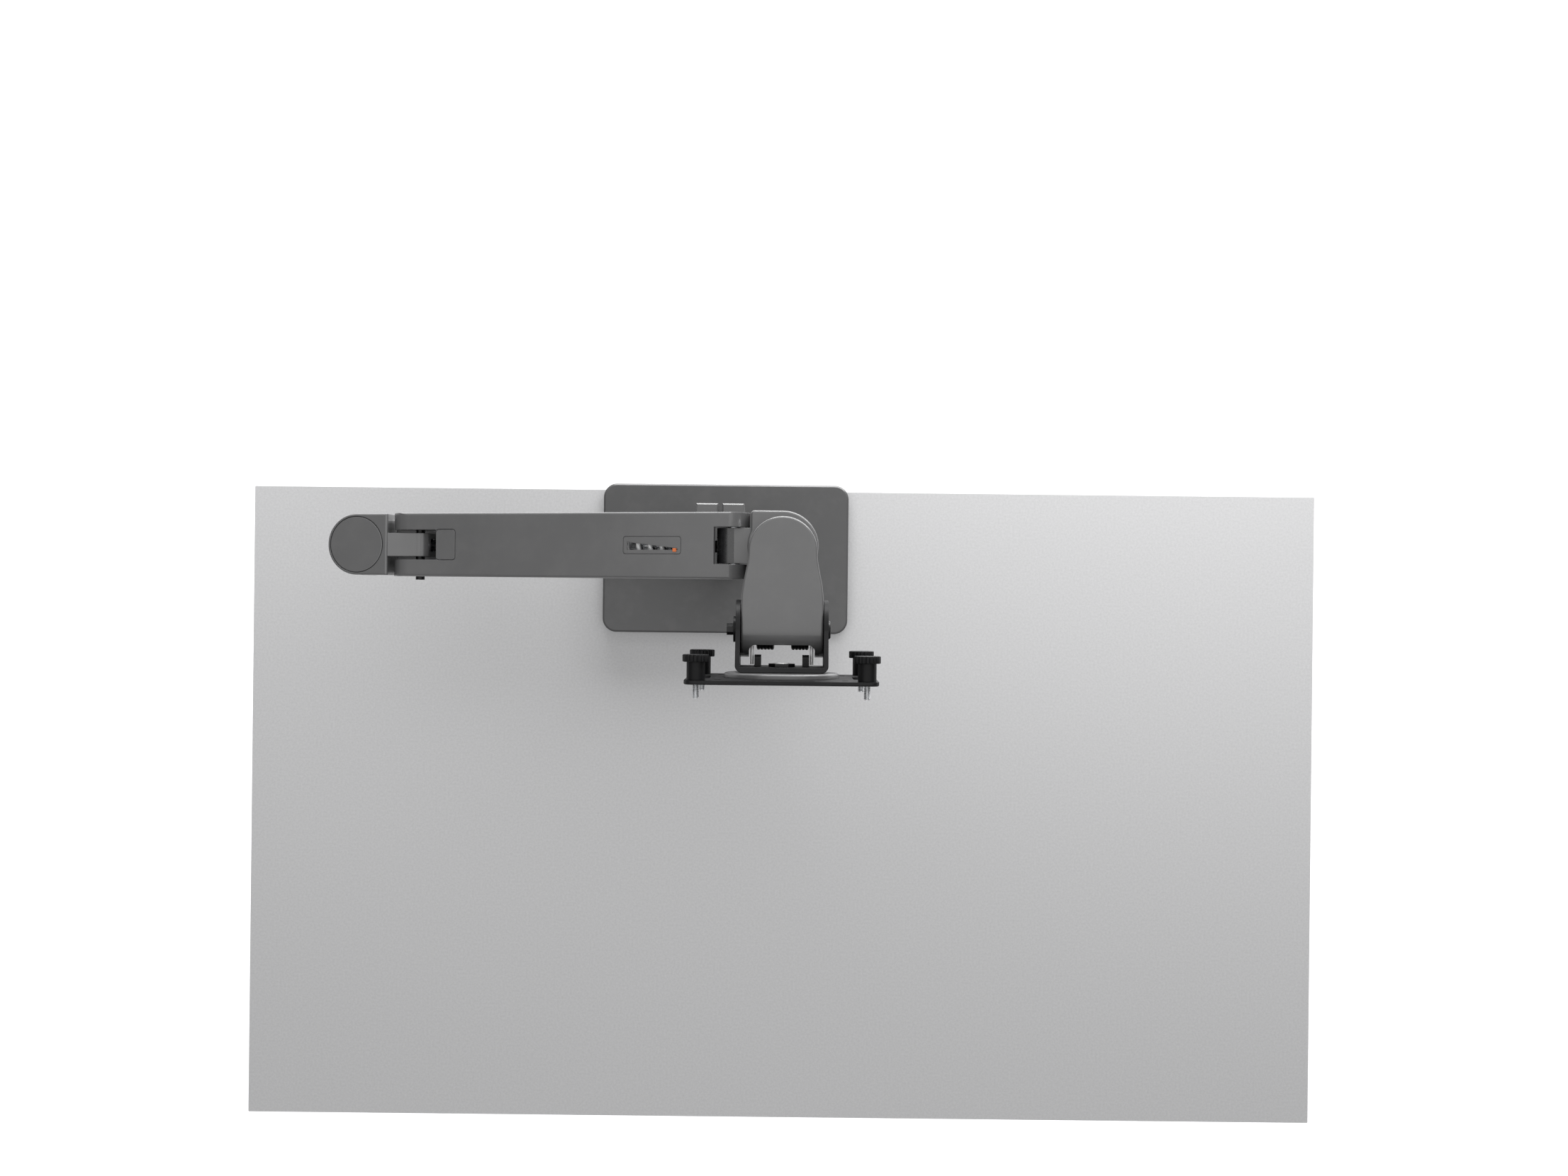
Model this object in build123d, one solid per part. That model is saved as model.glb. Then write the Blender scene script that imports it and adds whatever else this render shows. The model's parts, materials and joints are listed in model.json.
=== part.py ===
"""Desk-clamp monitor arm: folding swivel arm, spring-balanced lift, tilting and rotating VESA head.

Frame: origin at the centre of the base's underside, where it rests on the desk; +Z up, +Y to the
rear of the desk, +X to the user's right. Units are millimetres. The arm is stored folded: the lower
arm points to -X and the upper arm comes back over it, rising to the head on the +X side.
"""
from build123d import *
from math import atan2, cos, degrees, hypot, radians, sin
import os

# ---------------------------------------------------------------- driving dimensions
BASE_SIZE = (178, 108)            # base plate, width and depth
BASE_CORNER, BASE_THICK = 10, 8
PAD_THICK = 1.5                   # rubber between the plate and the desk
DESK_EDGE_Y = 49.8                # rear edge of the desk that the clamp hooks round
BRACKET_WIDTH, BRACKET_THICK = 90, 4
JAW_TOP, JAW_THICK = -70, 8       # lower jaw of the clamp
CLAMP_Y = 18                      # clamp screw axis
DESK_THICK = 25                   # desk that the clamp is closed on at rest
ARM_Y = 5                         # plane that all the arm's axes lie in
COLUMN_R, COLUMN_SHAFT_R, COLUMN_FLANGE_R = 17.5, 12, 19.6
CLIP_Z, CLIP_REAR_Y, CLIP_SLOT = (62, 88), 37.2, 3
LOWER_Z = (92, 127)               # underside and top of the lower arm
LOWER_HUB_R = 20.2
ELBOW_X, ELBOW_FACE_X = -240, -218
ELBOW_R, ELBOW_SHAFT_R = 20.1, 9
ELBOW_TOP, ELBOW_CAP_R, ELBOW_CAP_THICK = 163, 18.3, 3
ELBOW_SLOPE = 20                  # slope of the elbow's cap, parallel to the raised arm
REAR_PIN = (-198.4, 150)          # X and Z of the upper arm's rear hinge
FRONT_PIN = (11.3, 235)           # X and Z of the upper arm's front hinge
TIE_OFFSET = (6, -17)             # levelling bar's pins, from the upper arm's pins
ROD_OFFSET = (0, -9)              # push rod's pin, from the rear hinge
SHELL_WIDTH, SHELL_WALL = 41.5, 2.5
SHELL_TOP, SHELL_BOTTOM = 17, -21 # heights of the shell's faces across the link's line
NECK_WIDTH, REAR_SLOT, FRONT_SLOT = 15.2, 19.5, 23.1
BARREL_WIDTH, BARREL_R = 22, 10.5
NUT_AT, NUT_V = 193.4, 3          # tension nut along the link, and its height above the line
SPRING_R, SPRING_WIRE, SPRING_PITCH = 9.4, 1.5, 8.3
PAN_X, PAN_R = 41.8, 22           # vertical pan axis and its housing
BLOCK_Z = (214, 248)
TILT_Y, TILT_Z = -46.2, 262       # tilt axis, along X
HEAD_HALF, HEAD_WALL, HEAD_TOP = 25, 2.2, 277
BRACKET_HALF, U_PLATE = 28.1, 2.8
WEB_Y = (-68.6, -71.6)
VESA_Z, VESA_SIZE, VESA_PLATE_Y = 274, 114, (-75.1, -77.5)
DISC_R = 34.8
FIT = 0.04                        # radial running clearance of pins and shafts

LINK_LEN = hypot(FRONT_PIN[0] - REAR_PIN[0], FRONT_PIN[1] - REAR_PIN[1])
LINK_ANGLE = degrees(atan2(FRONT_PIN[1] - REAR_PIN[1], FRONT_PIN[0] - REAR_PIN[0]))
UP = (Align.CENTER, Align.CENTER, Align.MIN)


# ---------------------------------------------------------------- shape helpers
def rod(radius, start, end):
    """Cylinder from one point to another."""
    axis = Vector(*end) - Vector(*start)
    return Plane(origin=start, z_dir=axis) * Cylinder(radius, axis.length, align=UP)


def post(radius, x, y, low, high):
    """Upright cylinder between two heights."""
    return rod(radius, (x, y, low), (x, y, high))


def ring(outer, inner, x, y, low, high):
    """Upright tube between two heights."""
    return post(outer, x, y, low, high) - post(inner, x, y, low, high)


def block(x, y, z):
    """Box from its low and high values along each axis."""
    size = [high - low for low, high in (x, y, z)]
    middle = [(high + low) / 2 for low, high in (x, y, z)]
    return Pos(*middle) * Box(*size)


def across(sketch, low, high):
    """Extrude a sketch drawn in X and Z across the arm, between two Y values."""
    return Pos(0, high, 0) * extrude(Plane.XZ * sketch, high - low)


def outline(*points):
    """Closed face through the points."""
    return make_face(Polyline(*points, close=True))


def disc_at(radius, x, z):
    """Circle drawn at a point of the side view."""
    return Pos(x, z) * Circle(radius)


def on_link(shape):
    """Place a shape drawn along the link: x along it from the rear pin, y across, z above it."""
    return Pos(REAR_PIN[0], ARM_Y, REAR_PIN[1]) * Rot(0, -LINK_ANGLE, 0) * shape


def pin(radius, x, z, half, head=0):
    """Hinge pin across the arm, which may stand proud at its front end."""
    return rod(radius, (x, ARM_Y + half, z), (x, ARM_Y - half - head, z))


def coil(radius, wire, pitch, length):
    """Helical spring standing on z = 0 and centred on the Z axis."""
    path = Helix(pitch, length, radius)
    start = Plane(path @ 0, z_dir=path % 0)
    return sweep(start * Circle(wire), path, is_frenet=True)


# ---------------------------------------------------------------- base and clamp
def base_parts():
    top = PAD_THICK + BASE_THICK
    plate = Pos(0, 0, PAD_THICK) * extrude(RectangleRounded(*BASE_SIZE, BASE_CORNER), BASE_THICK)
    plate = chamfer(plate.faces().sort_by(Axis.Z)[-1].edges(), 1.2)
    flange_depth = 30
    rear = DESK_EDGE_Y + 0.2
    flange = block((-BRACKET_WIDTH / 2, BRACKET_WIDTH / 2), (rear + BRACKET_THICK - flange_depth,
                   rear + BRACKET_THICK), (PAD_THICK, PAD_THICK + BRACKET_THICK))
    plate -= flange
    screw_spots = [(x, rear - 14) for x in (-30, 30)]
    screws, plate_cut = [], []
    for x, y in screw_spots:
        screws.append(post(3, x, y, PAD_THICK, top - 2) + post(5.5, x, y, PAD_THICK, PAD_THICK + 2))
    for screw in screws:
        plate -= screw
    column_hole = post(5, 0, ARM_Y, 0, top)
    plate -= column_hole + post(9, 0, ARM_Y, 0, PAD_THICK + 5)

    bracket = flange + block((-BRACKET_WIDTH / 2, BRACKET_WIDTH / 2), (rear, rear + BRACKET_THICK),
                             (JAW_TOP - JAW_THICK, PAD_THICK))
    bracket = fillet(bracket.edges().filter_by(Axis.Y).group_by(Axis.Z)[0], 6)
    for screw in screws:
        bracket -= screw
    jaw_screws = []
    for x in (-26, 26):
        z = JAW_TOP - JAW_THICK / 2
        shank = rod(2, (x, rear - 14, z), (x, rear + BRACKET_THICK, z))
        head = rod(4, (x, rear + BRACKET_THICK, z), (x, rear + BRACKET_THICK + 3.2, z))
        socket = rod(1.8, (x, rear + BRACKET_THICK + 1.4, z), (x, rear + BRACKET_THICK + 3.2, z))
        jaw_screws.append(shank + head - socket)

    jaw = Pos(0, (rear - 8) / 2, JAW_TOP - JAW_THICK) * extrude(
        RectangleRounded(BRACKET_WIDTH - 14, rear + 8, 5), JAW_THICK)
    jaw += post(13, 0, CLAMP_Y, JAW_TOP - JAW_THICK - 8, JAW_TOP)
    jaw -= post(5 + FIT, 0, CLAMP_Y, JAW_TOP - JAW_THICK - 9, JAW_TOP + 1)
    for screw in jaw_screws:
        bracket -= screw
        jaw -= screw

    pad = extrude(Rectangle(BASE_SIZE[0] - 8, BASE_SIZE[1] - 10), PAD_THICK)
    pad = fillet(pad.edges().filter_by(Axis.Z), BASE_CORNER - 3)
    pad = Pos(0, -1, 0) * pad

    flange_top = top + 4
    column = post(COLUMN_FLANGE_R, 0, ARM_Y, top, flange_top)
    column += post(COLUMN_R, 0, ARM_Y, flange_top, LOWER_Z[0] - 1)
    column = fillet(column.edges().filter_by(GeomType.CIRCLE).group_by(Axis.Z)[-1], 1)
    column += post(COLUMN_SHAFT_R, 0, ARM_Y, LOWER_Z[0] - 1.5, LOWER_Z[1] - 8)
    column += post(6, 0, ARM_Y, LOWER_Z[1] - 8, LOWER_Z[1] - 3)
    column -= post(4, 0, ARM_Y, top, top + 22)
    bolt = post(4, 0, ARM_Y, PAD_THICK + 4.5, top + 20) + post(8, 0, ARM_Y, PAD_THICK, PAD_THICK + 5)
    bolt -= extrude(Pos(0, ARM_Y, PAD_THICK) * RegularPolygon(3.4, 6), 3)
    nut = Pos(0, ARM_Y, LOWER_Z[1] - 6.8) * extrude(RegularPolygon(9.5, 6), 4)
    nut -= post(6, 0, ARM_Y, LOWER_Z[1] - 8, LOWER_Z[1])
    washer = ring(14, 6.1, 0, ARM_Y, LOWER_Z[1] - 8, LOWER_Z[1] - 6.8)
    thrust = ring(20, COLUMN_SHAFT_R + 0.2, 0, ARM_Y, LOWER_Z[0] - 1, LOWER_Z[0])
    column -= thrust
    return {"base_plate": plate, "desk_pad": pad, "clamp_bracket": bracket, "lower_jaw": jaw,
            "bracket_screws": Compound(screws), "jaw_screws": Compound(jaw_screws),
            "column": column, "column_bolt": bolt, "column_nut": nut + washer,
            "column_thrust_washer": thrust}


def cable_clip():
    """Split clip round the column, with two tapered jaws at the rear that pinch the cables."""
    low, high = CLIP_Z
    wall, jaw_half, splay, jaw_front, jaw_x = 2.2, 16.5, 2.2, 12, -2
    rear = CLIP_REAR_Y - ARM_Y
    jaws = outline((-jaw_half - splay, jaw_front), (jaw_half + splay, jaw_front), (jaw_half, rear),
                   (-jaw_half, rear))
    slot = Pos(jaw_x, (jaw_front + rear) / 2 + wall) * Rectangle(CLIP_SLOT, rear - jaw_front + wall)
    body = Circle(COLUMN_R + wall) + Pos(jaw_x, 0) * jaws - Circle(COLUMN_R) - slot
    clip = Pos(0, ARM_Y, low) * extrude(body, high - low)
    rim = clip.edges().group_by(Axis.Z)[-1].filter_by(lambda edge: edge.center().Y > ARM_Y + 22)
    return chamfer(rim, 0.8)


def clamp_parts():
    face = -DESK_THICK
    pad = post(20, 0, CLAMP_Y, face - 7, face - 2)
    pad = chamfer(pad.edges().filter_by(GeomType.CIRCLE).group_by(Axis.Z)[0], 2)
    pad -= post(5.2, 0, CLAMP_Y, face - 8, face - 4)
    rubber = post(20, 0, CLAMP_Y, face - 2, face)
    rubber = fillet(rubber.edges().filter_by(GeomType.CIRCLE).group_by(Axis.Z)[-1], 0.8)
    knob_top = JAW_TOP - JAW_THICK - 8 - 22
    screw = post(5, 0, CLAMP_Y, knob_top - 8, face - 4.2)
    knob = Circle(14)
    for step in range(5):
        knob += Rot(0, 0, 72 * step) * Pos(15, 0) * Circle(7)
    knob = Pos(0, CLAMP_Y, knob_top - 12) * extrude(knob, 12)
    knob += post(9, 0, CLAMP_Y, knob_top, knob_top + 5)
    knob = fillet(knob.faces().sort_by(Axis.Z)[0].edges(), 2)
    knob -= post(5, 0, CLAMP_Y, knob_top - 8, knob_top + 6)
    return {"clamp_pad": pad, "clamp_pad_rubber": rubber, "clamp_screw": screw, "clamp_knob": knob}


# ---------------------------------------------------------------- lower arm and elbow
def lower_arm_parts():
    low, high = LOWER_Z
    inset, wall, beam_half = 2, 3, 18.5
    beam = block((ELBOW_X, 0), (ARM_Y - beam_half, ARM_Y + beam_half), (low + inset, high - inset))
    beam = fillet(beam.edges().filter_by(Axis.X), 4)
    for x in (0, ELBOW_X):
        hub = post(LOWER_HUB_R, x, ARM_Y, low, high)
        beam += fillet(hub.edges().filter_by(GeomType.CIRCLE), 1.5)
    channel_x = (ELBOW_X + LOWER_HUB_R + 2, -LOWER_HUB_R - 2)
    channel_y = (ARM_Y - beam_half + wall, ARM_Y + beam_half - wall)
    beam -= block(channel_x, channel_y, (low + inset, high - inset - wall))
    cover = block(channel_x, channel_y, (low + inset, low + inset + 2))
    beam -= post(14, 0, ARM_Y, low, high) + post(17, 0, ARM_Y, high - 8, high)
    bushes = []
    for z in (low, high - 8 - 9):
        bushes.append(ring(14, COLUMN_SHAFT_R + FIT, 0, ARM_Y, z, z + 9))
    hub_cap = post(17, 0, ARM_Y, high - 2, high)
    hub_cap = fillet(hub_cap.edges().group_by(Axis.Z)[-1], 0.8)
    shaft_top = high + 20
    beam -= post(ELBOW_SHAFT_R, ELBOW_X, ARM_Y, low + 4, high)
    shaft = post(ELBOW_SHAFT_R, ELBOW_X, ARM_Y, low + 4, high + 11.5)
    shaft += post(6, ELBOW_X, ARM_Y, high + 11, shaft_top - 1)
    nut = Pos(ELBOW_X, ARM_Y, high + 11.5) * extrude(RegularPolygon(9.5, 6), 6)
    nut -= post(6, ELBOW_X, ARM_Y, high + 11, shaft_top)
    washer = ring(18.5, ELBOW_SHAFT_R, ELBOW_X, ARM_Y, high, high + 1)
    return {"lower_arm_beam": beam, "lower_cable_cover": cover, "column_bushes": Compound(bushes),
            "hub_cap": hub_cap, "elbow_shaft": shaft, "elbow_nut": nut, "elbow_washer": washer}


def elbow_parts():
    low = LOWER_Z[1] + 1
    pin_x, pin_z = REAR_PIN
    neck_half = NECK_WIDTH / 2
    face_x, stock_top = ELBOW_FACE_X, ELBOW_TOP + 12

    def above_slope(depth):
        """Everything above the elbow's sloping top, or above a plane sunk under it."""
        return Pos(face_x, ARM_Y, ELBOW_TOP) * Rot(0, -ELBOW_SLOPE, 0) * block(
            (-80, 40), (-40, 40), (-depth, 60))

    body = post(ELBOW_R, ELBOW_X, ARM_Y, low, stock_top)
    body += block((ELBOW_X, face_x), (ARM_Y - ELBOW_R, ARM_Y + ELBOW_R), (low, stock_top))
    body -= above_slope(0)
    rim = body.faces().sort_by(Axis.Z)[-1].edges()
    body = fillet(rim, 1.2)
    body = fillet(body.edges().filter_by(GeomType.CIRCLE).group_by(Axis.Z)[0], 1)
    tie_x, tie_z = pin_x + TIE_OFFSET[0], pin_z + TIE_OFFSET[1]
    nose_x, nose_z = pin_x + 7.4, 164.2
    neck = outline((face_x - 6, low + 2.2), (tie_x, tie_z - 4.4), (tie_x + 3, tie_z + 4), (nose_x, pin_z),
                   (nose_x, nose_z - 6), (nose_x - 5, nose_z), (face_x - 6, nose_z - 3))
    neck += disc_at(4.4, tie_x, tie_z) + disc_at(6, nose_x - 6, nose_z - 6)
    neck = across(neck, ARM_Y - neck_half, ARM_Y + neck_half)
    body += neck
    rod_x, rod_z = pin_x + ROD_OFFSET[0], pin_z + ROD_OFFSET[1]
    slot = outline((pin_x - 6, low), (pin_x - 6, pin_z - 4), (pin_x + 1.2, pin_z - 4),
                   (pin_x + 14, pin_z + 9.3), (pin_x + 30, pin_z + 9.3), (pin_x + 30, low))
    body -= across(slot, ARM_Y - 4.2, ARM_Y + 4.2)
    body -= pin(3 + FIT, pin_x, pin_z, ELBOW_R)
    body -= pin(1.8, tie_x, tie_z, neck_half) + pin(1.8, rod_x, rod_z, neck_half)

    groove = 0.35
    seat = above_slope(ELBOW_CAP_THICK)
    body -= post(ELBOW_CAP_R + groove, ELBOW_X, ARM_Y, low, stock_top) & seat
    cap = post(ELBOW_CAP_R, ELBOW_X, ARM_Y, low, stock_top) & seat
    cap -= above_slope(0)
    cap = fillet(cap.faces().sort_by(Axis.Z)[-1].edges(), 0.4)
    body -= post(11.5, ELBOW_X, ARM_Y, low, low + 18.5)
    bush = ring(11.5, ELBOW_SHAFT_R + FIT, ELBOW_X, ARM_Y, low, low + 10)
    return {"elbow_block": body, "elbow_cap": cap, "elbow_bush": bush,
            "elbow_link_pins": Compound([pin(1.8, tie_x, tie_z, neck_half),
                                         pin(1.8, rod_x, rod_z, neck_half)])}


# ---------------------------------------------------------------- spring-balanced upper arm
def shell_outline():
    """Side view of the upper arm's shell, along the link."""
    roll = ThreePointArc((LINK_LEN + 3.8, SHELL_TOP), (LINK_LEN + 8.2, 11.8), (LINK_LEN + 9.6, 4))
    under = Polyline(roll @ 1, (LINK_LEN + 9.4, 0), (LINK_LEN + 3, -9.2), (LINK_LEN - 16, SHELL_BOTTOM),
                     (0, SHELL_BOTTOM), (0, SHELL_TOP), roll @ 0)
    side = make_face(Wire([*roll.edges(), *under.edges()]))
    side += disc_at(SHELL_TOP, 0, 0) + disc_at(9.8, LINK_LEN, 0)
    side -= outline((-30, SHELL_BOTTOM - 1), (-30, -SHELL_TOP), (0, -SHELL_TOP), (14, SHELL_BOTTOM - 1))
    return side


def gauge_window():
    """Wedge-shaped window that narrows towards the light end of the scale."""
    return outline((160.3, -2.9), (160.3, 2.0), (195.2, -1.9), (195.2, -2.9))


def upper_arm_parts():
    half = SHELL_WIDTH / 2
    inner = half - SHELL_WALL
    bar = block((-40, LINK_LEN + 40), (-half, half), (SHELL_BOTTOM, SHELL_TOP))
    bar = fillet(bar.edges().filter_by(Axis.X).group_by(Axis.Z)[-1], 1.6)
    shell = bar & across(shell_outline(), -half, half)
    fork_rear, fork_front = 22, LINK_LEN - 14
    roof = SHELL_TOP - SHELL_WALL
    shell -= block((fork_rear, fork_front), (-inner, inner), (SHELL_BOTTOM - 1, roof))
    shell -= block((-30, fork_rear), (-REAR_SLOT / 2, REAR_SLOT / 2), (SHELL_BOTTOM - 1, SHELL_TOP + 1))
    shell -= block((fork_front - 1, LINK_LEN + 30), (-FRONT_SLOT / 2, FRONT_SLOT / 2),
                   (SHELL_BOTTOM - 1, roof))
    shell -= block((LINK_LEN - 6.5, LINK_LEN + 30), (-FRONT_SLOT / 2, FRONT_SLOT / 2),
                   (roof - 1, SHELL_TOP + 1))
    cover_end = 36.1
    cover = Pos((fork_rear + cover_end) / 2, 0, roof) * extrude(
        RectangleRounded(cover_end - fork_rear, REAR_SLOT, 2), SHELL_WALL)
    cover_gap = Pos((fork_rear + cover_end) / 2, 0, roof - 0.2) * extrude(
        RectangleRounded(cover_end - fork_rear + 0.7, REAR_SLOT + 0.7, 2.3), SHELL_WALL + 1)
    shell -= cover_gap
    lip = REAR_SLOT / 2 + 2
    cover += block((fork_rear + 2, cover_end - 2), (-lip, lip), (roof - 1.5, roof))
    shell -= cover
    gauge_x, gauge_len, gauge_wide = 177.5, 39.5, 10.6
    gauge = Pos(gauge_x, 0, SHELL_TOP - 1.2) * extrude(RectangleRounded(gauge_len, gauge_wide, 1.5), 1.2)
    recess = Pos(gauge_x, 0, SHELL_TOP - 1.2) * extrude(
        RectangleRounded(gauge_len + 0.5, gauge_wide + 0.5, 1.7), 2)
    shell -= recess + Pos(gauge_x, 0, roof - 1) * extrude(Rectangle(gauge_len - 2, gauge_wide - 2.4), 4)
    gauge -= Pos(0, 0, SHELL_TOP - 2) * extrude(gauge_window(), 3)
    shell -= rod(3, (0, half + 1, 0), (0, -half - 1, 0)) + rod(4, (LINK_LEN, half + 1, 0),
                                                              (LINK_LEN, -half - 1, 0))
    rear_pin = rod(3, (0, half - 1, 0), (0, -half - 2.2, 0))
    front_pin = rod(4, (LINK_LEN, half - 0.3, 0), (LINK_LEN, -half + 0.3, 0))
    bracket = block((199, 202.5), (-inner, inner), (-11, roof)) - rod(3.2, (198, 0, NUT_V), (204, 0, NUT_V))
    link = {"upper_arm_shell": shell, "slot_cover": cover, "gauge_plate": gauge, "rear_pin": rear_pin,
            "front_pin": front_pin, "screw_bracket": bracket}
    return {name: on_link(shape) for name, shape in link.items()}


def spring_parts():
    """Levelling bar, push rod, balance spring, and the screw and nut that set its tension."""
    tie_u = TIE_OFFSET[0] * cos(radians(LINK_ANGLE)) + TIE_OFFSET[1] * sin(radians(LINK_ANGLE))
    tie_v = TIE_OFFSET[1] * cos(radians(LINK_ANGLE)) - TIE_OFFSET[0] * sin(radians(LINK_ANGLE))
    bar = disc_at(3.8, tie_u, tie_v) + disc_at(3.8, tie_u + LINK_LEN, tie_v)
    bar += Pos(tie_u + LINK_LEN / 2, tie_v) * Rectangle(LINK_LEN, 4)
    bar -= disc_at(1.8 + FIT, tie_u, tie_v) + disc_at(1.8 + FIT, tie_u + LINK_LEN, tie_v)
    tie_bar = across(bar, -3.8, 3.8)

    rod_u = ROD_OFFSET[0] * cos(radians(LINK_ANGLE)) + ROD_OFFSET[1] * sin(radians(LINK_ANGLE))
    rod_v = ROD_OFFSET[1] * cos(radians(LINK_ANGLE)) - ROD_OFFSET[0] * sin(radians(LINK_ANGLE))
    lean = degrees(atan2(NUT_V - rod_v, NUT_AT - rod_u))
    on_rod = Pos(rod_u, 0, rod_v) * Rot(0, 90 - lean, 0)
    collar_at, coil_start, coil_end, guide_end = 76, 79, 192, 138
    eye = across(disc_at(4, 0, 0), -3.8, 3.8) - across(disc_at(1.8 + FIT, 0, 0), -4, 4)
    shaft = Pos(0, 0, 3.2) * Cylinder(2.5, guide_end - 3.2, align=UP)
    push_rod = on_rod * shaft + Pos(rod_u, 0, rod_v) * eye
    collar = Pos(0, 0, collar_at) * (Cylinder(9.8, 2.5, align=UP) - Cylinder(2.5, 3, align=UP))
    collar += Pos(0, 0, collar_at) * (Cylinder(4.6, 8, align=UP) - Cylinder(2.5, 9, align=UP))
    spring = Pos(0, 0, coil_start + SPRING_WIRE) * coil(
        SPRING_R - SPRING_WIRE, SPRING_WIRE, SPRING_PITCH, coil_end - coil_start - 2 * SPRING_WIRE)

    nut = block((NUT_AT - 3, NUT_AT + 3.5), (-12, 12), (-8, 12.5))
    nut = fillet(nut.edges().filter_by(Axis.X), 3)
    nut -= rod(3, (NUT_AT - 4, 0, NUT_V), (NUT_AT + 5, 0, NUT_V))
    stem = block((NUT_AT - 0.9, NUT_AT + 0.9), (-2.75, -2.05), (12.5, SHELL_TOP + 0.1))
    head = block((NUT_AT - 1.2, NUT_AT + 1.2), (-4, -1.8), (SHELL_TOP + 0.1, SHELL_TOP + 0.7))
    screw = rod(3 - FIT, (154, 0, NUT_V), (205, 0, NUT_V)) + rod(5.5, (203, 0, NUT_V), (209, 0, NUT_V))
    screw -= Pos(209, 0, NUT_V) * Rot(0, -90, 0) * extrude(RegularPolygon(2.9, 6), 4)
    link = {"tie_bar": tie_bar, "push_rod": push_rod, "rod_collar": on_rod * collar,
            "balance_spring": on_rod * spring, "tension_nut": nut, "tension_pointer": stem + head,
            "tension_screw": screw}
    return {name: on_link(shape) for name, shape in link.items()}


# ---------------------------------------------------------------- front block and head
def front_block_parts():
    low, high = BLOCK_Z
    pin_x, pin_z = FRONT_PIN
    tie_x, tie_z = pin_x + TIE_OFFSET[0], pin_z + TIE_OFFSET[1]
    face_x = 21.9
    body = post(PAN_R, PAN_X, ARM_Y, low, high)
    body += block((face_x, PAN_X), (ARM_Y - PAN_R, ARM_Y + PAN_R), (low, high))
    body = fillet(body.edges().filter_by(Axis.Z).group_by(Axis.X)[0], 2)
    body = fillet(body.faces().sort_by(Axis.Z)[-1].edges(), 1.5)
    barrel = disc_at(BARREL_R, pin_x, pin_z) + outline(
        (pin_x, pin_z + BARREL_R), (PAN_X - 14, pin_z + BARREL_R), (PAN_X - 14, low), (tie_x - 3, low),
        (pin_x - BARREL_R + 4, pin_z - 8))
    body += across(barrel, ARM_Y - BARREL_WIDTH / 2, ARM_Y + BARREL_WIDTH / 2)
    slot = outline((tie_x + 5.5, low - 1), (tie_x + 5.5, tie_z + 5.5), (tie_x - 5.5, tie_z + 5.5),
                   (tie_x - 18, tie_z + 2), (tie_x - 18, low - 9))
    body -= across(slot, ARM_Y - 4.2, ARM_Y + 4.2)
    body -= pin(4 + FIT, pin_x, pin_z, PAN_R) + pin(1.8, tie_x, tie_z, BARREL_WIDTH / 2)
    body -= post(10, PAN_X, ARM_Y, low, high)
    body -= post(13.5, PAN_X, ARM_Y, low, low + 7)
    bush = ring(10, 8 + FIT, PAN_X, ARM_Y, low + 7, high)
    return {"front_block": body, "pan_bush": bush, "tie_pin_front": pin(1.8, tie_x, tie_z, BARREL_WIDTH / 2)}


def head_plan(grow=0):
    """Plan of the head's cover: round at the pan axis, widening smoothly to the tilt hinge."""
    half = HEAD_HALF - grow
    round_r, round_y = 20.9 - grow, 1.8
    front = TILT_Y - 18 - grow
    left = Spline((-round_r, round_y), (-half + 2.1, -13), (-half, -30),
                  tangents=[(0, -1), (0, -1)])
    right = mirror(left, Plane.YZ)
    cap = RadiusArc((-round_r, round_y), (round_r, round_y), round_r)
    base = Polyline((-half, -30), (-half, front), (half, front), (half, -30))
    return make_face(Wire([*left.edges(), *right.edges(), *cap.edges(), *base.edges()]))


def side_view(sketch, low, high):
    """Extrude a sketch drawn in Y and Z along X, between two X values."""
    return Pos(low, 0, 0) * extrude(Plane.YZ * sketch, high - low)


def head_cover():
    """Cover shell, rolled down over the tilt springs, with a cheek on each side of the hinge."""
    floor, roll, cheek_half = BLOCK_Z[1] + 1.2, 15, 22.6
    back = 40

    def solid(shrink):
        plan = Pos(PAN_X, 0, floor) * extrude(head_plan(shrink), HEAD_TOP - floor)
        side = outline((back, floor), (back, HEAD_TOP - shrink), (TILT_Y, HEAD_TOP - shrink),
                       (TILT_Y - roll + shrink, TILT_Z), (TILT_Y - roll + shrink, floor))
        side += disc_at(roll - shrink, TILT_Y, TILT_Z)
        side += outline((TILT_Y, TILT_Z + 8), (TILT_Y - 16, TILT_Z + 3), (TILT_Y - 17, TILT_Z - 4),
                        (TILT_Y - 17, floor), (TILT_Y, floor))
        return plan & side_view(side, PAN_X - 40, PAN_X + 40)

    outer = solid(0)
    rim = outer.edges().filter_by(lambda e: e.center().Z > HEAD_TOP - 0.01 and e.center().Y > TILT_Y + 1)
    outer = fillet(rim, 1.5)
    cover = outer - Pos(0, 0, -0.01) * solid(HEAD_WALL)
    front_y = TILT_Y - 9.3
    mouth_wide, mouth_deep = 2 * cheek_half - 5.2, 20
    mouth = Box(mouth_wide, mouth_deep, HEAD_TOP - floor + 2, align=UP)
    mouth = Pos(PAN_X, front_y - mouth_deep / 2, floor - 1) * mouth
    cover -= fillet(mouth.edges().filter_by(Axis.Z).group_by(Axis.Y)[-1], 4)
    cover -= rod(5.6, (PAN_X - 30, TILT_Y, TILT_Z), (PAN_X + 30, TILT_Y, TILT_Z))
    return cover


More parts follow.
